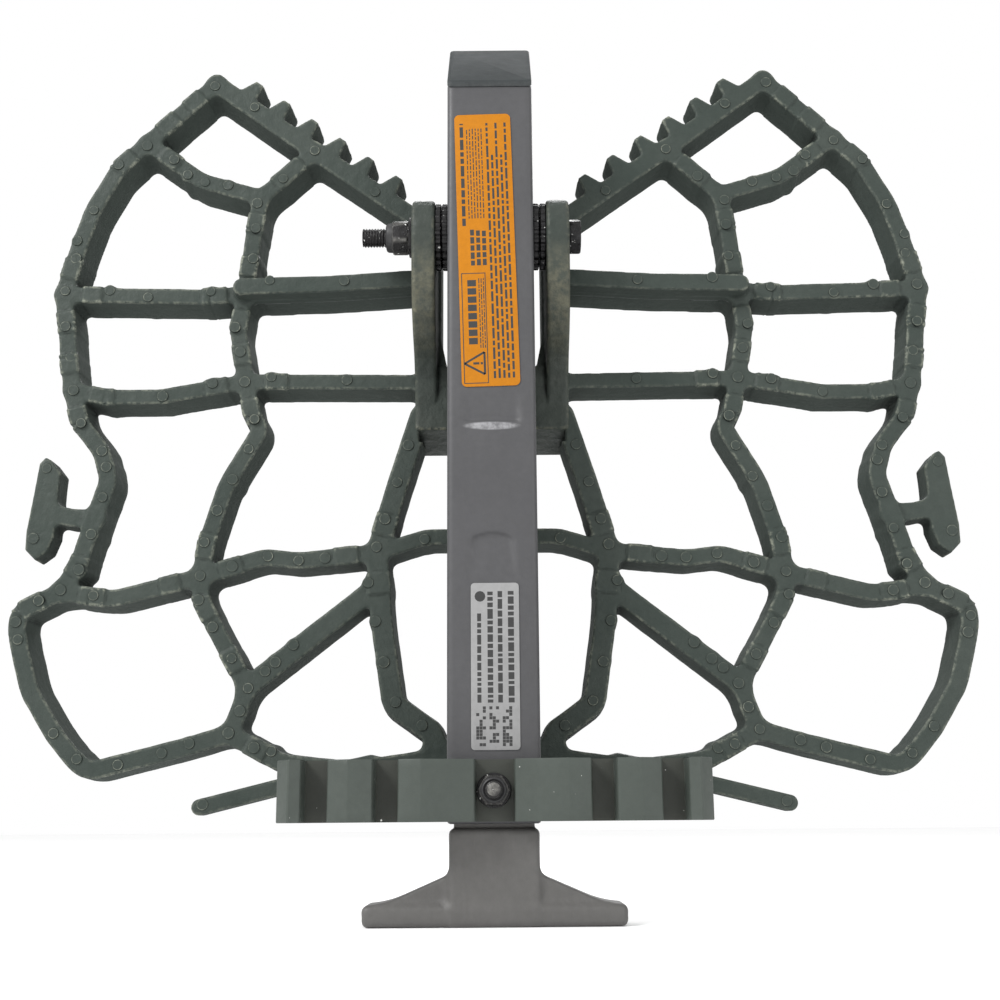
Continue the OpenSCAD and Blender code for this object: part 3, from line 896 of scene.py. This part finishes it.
def post():
    """Square tube with a top cut at 45 degrees, two dents and the hinge bolt's hole."""
    step = 1.0
    low, (x, y, z) = around(POST, step)
    middle = ((POST[0][0] + POST[1][0]) / 2, (POST[0][1] + POST[1][1]) / 2)
    half = POST_W / 2
    wall = rounded_box((x, y), middle, (half, half), CORNER)
    inner = rounded_box((x, y), middle, (half - WALL, half - WALL), CORNER / 2)
    slope = ((z - SLOPE_Z) - (y - POST[0][1])) / math.sqrt(2)
    tube = smax(wall, -inner, 0.8)
    tube = smax(tube, slope, 1.0)
    tube = smax(tube, POST[0][2] - z, 0.8)
    face = np.zeros(np.broadcast(x, z).shape, np.float32)
    for sharp, soft, wide, deep, arch in DENTS:
        way = 1 if soft > sharp else -1
        t = way * (z - sharp + arch * (x / wide) ** 2)
        side = np.clip((wide + (0.12 * t if way < 0 else 0) - np.abs(x)) / 3.0, 0, 1)
        fade = np.clip(t / 1.5, 0, 1) * np.clip(1 - t / abs(soft - sharp), 0, 1)
        face = np.maximum(face, deep * fade * side)
    tube = smax(tube, POST[0][1] + face - y, 0.4)
    tube = smax(tube, BOLT_HOLE - np.hypot(y - HINGE_Y, z), 0.5)
    return solid("post_tube", tube, low, step, POSTP)


finish_piece(post(), "post", "post_paint", "post")


def rounded(w, h, r, n=6, cy=0):
    """Outline of a rounded rectangle around (0, cy), with n segments on each corner."""
    pts = []
    for sx, sy, a0 in ((1, 1, 0), (-1, 1, 90), (-1, -1, 180), (1, -1, 270)):
        for i in range(n + 1):
            a = math.radians(a0 + 90 * i / n)
            pts.append((sx * (w / 2 - r) + r * math.cos(a), cy + sy * (h / 2 - r) + r * math.sin(a)))
    return pts


# The cap's layers: height above the slope, and how far the outline draws in
CAP_ROWS = [(0.02, 0.0), (2.2, 0.0), (2.8, 0.5), (2.98, 1.4)]


def cap():
    """The thin lid on the post's sloping top."""
    length, k = POST_W * math.sqrt(2), math.sqrt(0.5)
    verts = []
    for w, inset in CAP_ROWS:
        sheet = rounded(POST_W - 2 * inset, length - 2 * inset, max(0.6, 2.5 - inset), cy=length / 2)
        for u, v in sheet:
            verts.append((u * MM, (POST[0][1] + (v - w) * k) * MM, (SLOPE_Z + (v + w) * k) * MM))
    faces = stacked(len(sheet), len(CAP_ROWS))
    return shade_by_angle(mesh_object("post_cap_plate", verts, faces, CAPP), 40)


finish_piece(cap(), "post", "post_paint", "post_cap")


# Half width of the shank, how low it reaches, and the wings on the blade as (x, z)
SHANK_HALF, SHANK_LOW = 21, -345
WING = [(-20.5, -322.5), (-58, -338.5), (58, -338.5), (20.5, -322.5)]


def foot():
    """Shank below the post, tongue inside it, blade, and wings above the blade."""
    step = 0.8
    low, (x, y, z) = around(FOOT, step)
    top, depth = POST[0][2] - 2, FOOT[1][1]
    shank = rounded_box((x, y, z), (0, depth / 2, (top + SHANK_LOW) / 2),
                        (SHANK_HALF, depth / 2, (top - SHANK_LOW) / 2), 2.6)
    tongue = rounded_box((x, y, z), (0, 22, top + 10), (18.8, 18.8, 29.5), 1.5)
    blade = rounded_box((x, y, z), (0, 15, -341), (FOOT[1][0], 15, 5), 3.2)
    wing = slab(polygon_sdf(x[:, 0, :], z[:, 0, :], WING), y, 3, 24, 1.5)
    body = smin(smin(shank, blade, 3.5), wing, 4)
    body = smin(body, tongue, 0.5)
    body = smax(body, FOOT[0][2] - z, 0.6)
    return solid("foot_casting", body, low, step, FOOTP)


finish_piece(foot(), "post", "foot_paint", "foot")

# ---- tree bar and its bolt

# Right half of the bar's outline seen from above, as (x, y)
BAR_HALF = [(9, -6), (9.2, -14.5), (19.5, -16), (33.5, -20), (44, -16.5), (44.5, -6), (55, -6),
            (55.5, -16.5), (66.5, -20), (76, -16.5), (76.5, -6), (87.5, -6), (88, -16.5),
            (93.5, -19), (99.5, -12), (99.5, 0)]
BAR_MID = (BAR[0][0] + BAR[1][0]) / 2
# Layers up the bar, the break at its ends, the share of its height that takes, other breaks
BAR_ROWS, END_BREAK, END_REACH, CORNER_BREAK = 14, 0.35, 0.012, 0.5


def tree_bar():
    """The ridged extrusion, with small breaks on every corner."""
    outline = BAR_HALF + [(-x, y) for x, y in reversed(BAR_HALF)]
    cut = []
    for i, p in enumerate(outline):
        cut += cut_corner(outline[i - 1], p, outline[(i + 1) % len(outline)], CORNER_BREAK)
    verts = []
    for j in range(BAR_ROWS + 1):
        share = {1: END_REACH, BAR_ROWS - 1: 1 - END_REACH}.get(j, j / BAR_ROWS)
        z = BAR[0][2] + (BAR[1][2] - BAR[0][2]) * share
        inset = END_BREAK if j in (0, BAR_ROWS) else 0
        for x, y in cut:
            verts.append(((x * (1 - inset / 98) + BAR_MID) * MM,
                          (y + (0.3 * inset if y < -10 else 0)) * MM, z * MM))
    faces = [f[::-1] for f in stacked(len(cut), BAR_ROWS + 1)]
    return shade_by_angle(mesh_object("ridged_bar", verts, faces, BARP), 25)


finish_piece(tree_bar(), "post", "bar_paint", "tree_bar")

BB, BN = mm_box("bar_bolt"), mm_box("bar_nut")
BR, BW = mm_box("bar_nut_ring"), mm_box("bar_washers")
BY = (0, 0, (BB[0][2] + BB[1][2]) / 2)
TAIL = 14                               # length of the bar bolt's thread
bar_thread = thread("bar_thread", -BB[0][1] - TAIL, -BB[0][1], 8, 1.25, (0, 0, 0))
for v in bar_thread.data.vertices:
    x, a, b = v.co
    v.co = (b, -x, a + BY[2] * MM)
parts = [bar_thread, rod("bar_shank", BB[0][1] + TAIL - 1, BB[1][1] - 5, 3.96, "y", BY),
         hex_ring("bar_head", BW[1][1] + 0.02, BB[1][1], BAR_FLATS, 0, "y", BY)]
finish_piece(join("bar_bolt_shown", *parts), "post", "black_steel", "bar_bolt")
finish_piece(hex_ring("bar_nut_shown", BN[1][1], BN[0][1], BAR_FLATS, 3.6, "y", BY),
             "post", "black_steel", "bar_nut")
collar = loft("bar_nut_collar", [
    (BR[1][1], 3.7), (BR[1][1], 5.95), (BR[0][1] + 0.9, 5.85), (BR[0][1] + 0.2, 5.4),
    (BR[0][1], 4.9), (BR[0][1] + 0.4, 4.4), (BR[0][1] + 0.5, 3.7)], NYLON, "y", BY)
finish_piece(collar, "post", "nylon", "bar_nut_ring")
WASHER_T = 1.6
parts = [flat_ring("a", BW[0][1], BW[0][1] + WASHER_T, 4.3, 8, STEEL, "y", BY),
         flat_ring("b", BW[1][1] - WASHER_T, BW[1][1], 4.3, 8, STEEL, "y", BY)]
finish_piece(join("bar_washers_shown", *parts), "post", "black_steel", "bar_washers")
SLEEVE = mm_box("hinge_sleeve")
finish_piece(flat_ring("hinge_sleeve_shown", SLEEVE[0][0], SLEEVE[1][0], 5.1, 8, ZINC, bevel=0.4),
             "post", "plain_steel", "hinge_sleeve")

# ---- labels

LIFT, INK_T = 0.4, 0.03                 # how far the print stands off the post, and how thick


def label(name, w, h, r, at, lean, mat, marks, node, slot):
    """A rounded sheet on the post's tree side, with raised print in thin bars."""
    c, s = math.cos(math.radians(lean)), math.sin(math.radians(lean))

    def place(u, v, out):
        return ((at[0] + u * c - v * s) * MM, -out * MM, (at[1] + u * s + v * c) * MM)

    sheet = rounded(w, h, r)
    verts = [place(u, v, o) for o in (0.02, LIFT - 0.06) for u, v in sheet]
    verts += [place(u * 0.985, v * 0.997, LIFT - 0.01) for u, v in sheet]
    base = mesh_object(name + "_base", verts, [f[::-1] for f in stacked(len(sheet), 3)], mat)
    shade_by_angle(base, 40)
    verts, faces = [], []
    for poly in marks(w, h):
        n = len(verts)
        faces += [tuple(n + i for i in f[::-1]) for f in stacked(len(poly), 2)]
        verts += [place(u, v, o) for o in (LIFT - INK_T, LIFT) for u, v in poly]
    ink = mesh_object(name + "_ink", verts, faces, INK, smooth=False)
    finish_piece(join(name, base, ink), "post", slot, node)


def rect(x0, y0, x1, y1):
    return [(x0, y0), (x1, y0), (x1, y1), (x0, y1)]


def dashes(x0, x1, y0, y1, word, space):
    """One column of print: a broken bar that runs up the label."""
    out, y = [], y0
    while y < y1:
        length = min(random.uniform(*word), y1 - y)
        if length > 0.5:
            out.append(rect(x0, y, x1, y + length))
        y += length + space
    return out


def columns(x0, pitch, count, wide, y0, y1, word, space):
    """Several columns of print, side by side."""
    return [bar for i in range(count)
            for bar in dashes(x0 + i * pitch, x0 + i * pitch + wide, y0, y1, word, space)]


def frame_of(x0, y0, x1, y1, t):
    """A thin frame in four bars."""
    return [rect(x0, y0, x0 + t, y1), rect(x1 - t, y0, x1, y1),
            rect(x0 + t, y0, x1 - t, y0 + t), rect(x0 + t, y1 - t, x1 - t, y1)]


def triangle_sign(cx, cy, size, thin=0.55, stroke=0.6):
    """A plain warning triangle lying on its side, drawn as three bars and a stroke."""
    pts = [(cx - size * 0.55, cy), (cx + size * 0.45, cy + size * 0.58),
           (cx + size * 0.45, cy - size * 0.58)]
    out = []
    for a, b in zip(pts, pts[1:] + pts[:1]):
        dx, dy = b[0] - a[0], b[1] - a[1]
        d = math.hypot(dx, dy)
        nx, ny = -dy / d * thin, dx / d * thin
        out.append([(a[0] - nx, a[1] - ny), (b[0] - nx, b[1] - ny), (b[0] + nx, b[1] + ny),
                    (a[0] + nx, a[1] + ny)])
    out.append(rect(cx - size * 0.12, cy - stroke, cx + size * 0.18, cy + stroke))
    out.append(rect(cx + size * 0.25, cy - stroke, cx + size * 0.36, cy + stroke))
    return out


def warning_print(w, h):
    """Orange label: a framed block with a triangle, and columns of broken bars as print."""
    left, low, top = -w / 2, -h / 2, h / 2
    out = frame_of(left + 1.2, low + 1.5, left + 13.5, low + 60, 0.45)
    out += triangle_sign(left + 7.2, low + 12, 10)
    # heading and small print in the frame
    out += dashes(left + 4.2, left + 8.6, low + 22, low + 57, (3.4, 3.4), 1.0)
    out += columns(left + 9.8, 1.15, 3, 0.5, low + 20, low + 57, (1.0, 3.2), 0.6)
    # long lines on the right, every other one shorter
    for i in range(5):
        x = left + 16 + i * 2.35
        out += dashes(x, x + 1.15, low + 4, top - 5 - 18 * (i % 2), (1.6, 6.5), 1.1)
    # above the frame: a line, a block of large print and a block of small print
    out += dashes(left + 2.6, left + 4.4, top - 62, top - 5, (2.0, 6.0), 1.2)
    out += columns(left + 6.4, 3.0, 3, 2.0, low + 64, low + 84, (2.6, 3.6), 0.9)
    out += columns(left + 5.9, 1.5, 6, 0.55, top - 58, top - 8, (0.9, 3.4), 0.7)
    return out


def serial_print(w, h):
    """Silver label: four columns of bars, a dot, and cells strewn at random."""
    left, low, top = -w / 2, -h / 2, h / 2
    out = []
    for i, thick in enumerate((1.9, 2.6, 2.2, 2.8)):
        x = left + 3.0 + i * 4.9
        out += dashes(x, x + thick, low + 22, top - 8 + (4 if i else -6), (1.4, 5.0), 0.8)
    turns = [math.radians(a) for a in range(0, 360, 30)]
    out.append([(left + 4.4 + 2.6 * math.cos(a), top - 6.5 + 2.6 * math.sin(a)) for a in turns])
    cell = 1.55
    for i in range(11):
        for j in range(12):
            if random.random() < 0.5 and i not in (3, 7):
                x, y = left + 2.4 + i * cell, low + 1.8 + j * cell
                out.append(rect(x, y, x + cell * 0.92, y + cell * 0.92))
    return out


def middle_of(box):
    """Middle of a box seen from the tree side, as (x, z)."""
    return (box[0][0] + box[1][0]) / 2, (box[0][2] + box[1][2]) / 2


W, S = mm_box("warning_label"), mm_box("serial_label")
# the orange label leans, so its own size is less than its box
label("warning_sheet", 29, 147.6, 2.6, middle_of(W), 1.5,
      ORANGE, warning_print, "warning_label", "orange_label")
label("serial_sheet", S[1][0] - S[0][0], S[1][2] - S[0][2], 1.8, middle_of(S), 0,
      SILVER, serial_print, "serial_label", "silver_label")

# ---- stage, light and camera

FLOOR_Z, FLOOR_HALF = FOOT[0][2] * MM, 6
sheet = bpy.data.meshes.new("floor")
sheet.from_pydata([(x * FLOOR_HALF, y * FLOOR_HALF, FLOOR_Z)
                   for x, y in ((-1, -1), (1, -1), (1, 1), (-1, 1))], [], [(0, 1, 2, 3)])
floor = bpy.data.objects.new("floor", sheet)
bpy.context.collection.objects.link(floor)
pale = bpy.data.materials.new("pale_floor")
pale.use_nodes = True
coat = pale.node_tree.nodes["Principled BSDF"].inputs
coat["Base Color"].default_value = (0.94, 0.94, 0.94, 1)
coat["Roughness"].default_value = 0.9
sheet.materials.append(pale)


def area(name, at, size, power, target=(0, 0, -0.1)):
    """A round lamp that faces the middle of the stand."""
    data = bpy.data.lights.new(name, "AREA")
    data.shape, data.size, data.energy = "DISK", size, power
    ob = bpy.data.objects.new(name, data)
    ob.location = at
    ob.rotation_euler = (Vector(target) - Vector(at)).to_track_quat("-Z", "Y").to_euler()
    bpy.context.collection.objects.link(ob)


area("key", (-1.5, -1.2, 1.3), 0.8, 58)
area("fill", (1.4, -1.4, 0.4), 1.2, 10)
area("rim", (0.3, 1.6, 1.4), 1.2, 26)
scene = bpy.context.scene
scene.view_settings.view_transform = "Standard"
scene.world = bpy.data.worlds.new("studio")
scene.world.use_nodes = True
sky = scene.world.node_tree.nodes["Background"].inputs
sky["Color"].default_value = (1, 1, 1, 1)
sky["Strength"].default_value = 1.0

# The camera stands opposite the tree bar, looks upward and is rolled a little (degrees, m)
TILT, ROLL, DISTANCE = 13, -0.45, 0.658
cam_data = bpy.data.cameras.new("camera")
cam_data.lens, cam_data.sensor_width = 50, 36
cam = bpy.data.objects.new("camera", cam_data)
cam.location = (0.00385, POST[0][1] * MM - DISTANCE, -0.2986)
cam.rotation_euler = (Matrix.Rotation(math.radians(90 + TILT), 3, "X")
                      @ Matrix.Rotation(math.radians(ROLL), 3, "Z")).to_euler()
bpy.context.collection.objects.link(cam)
scene.camera = cam
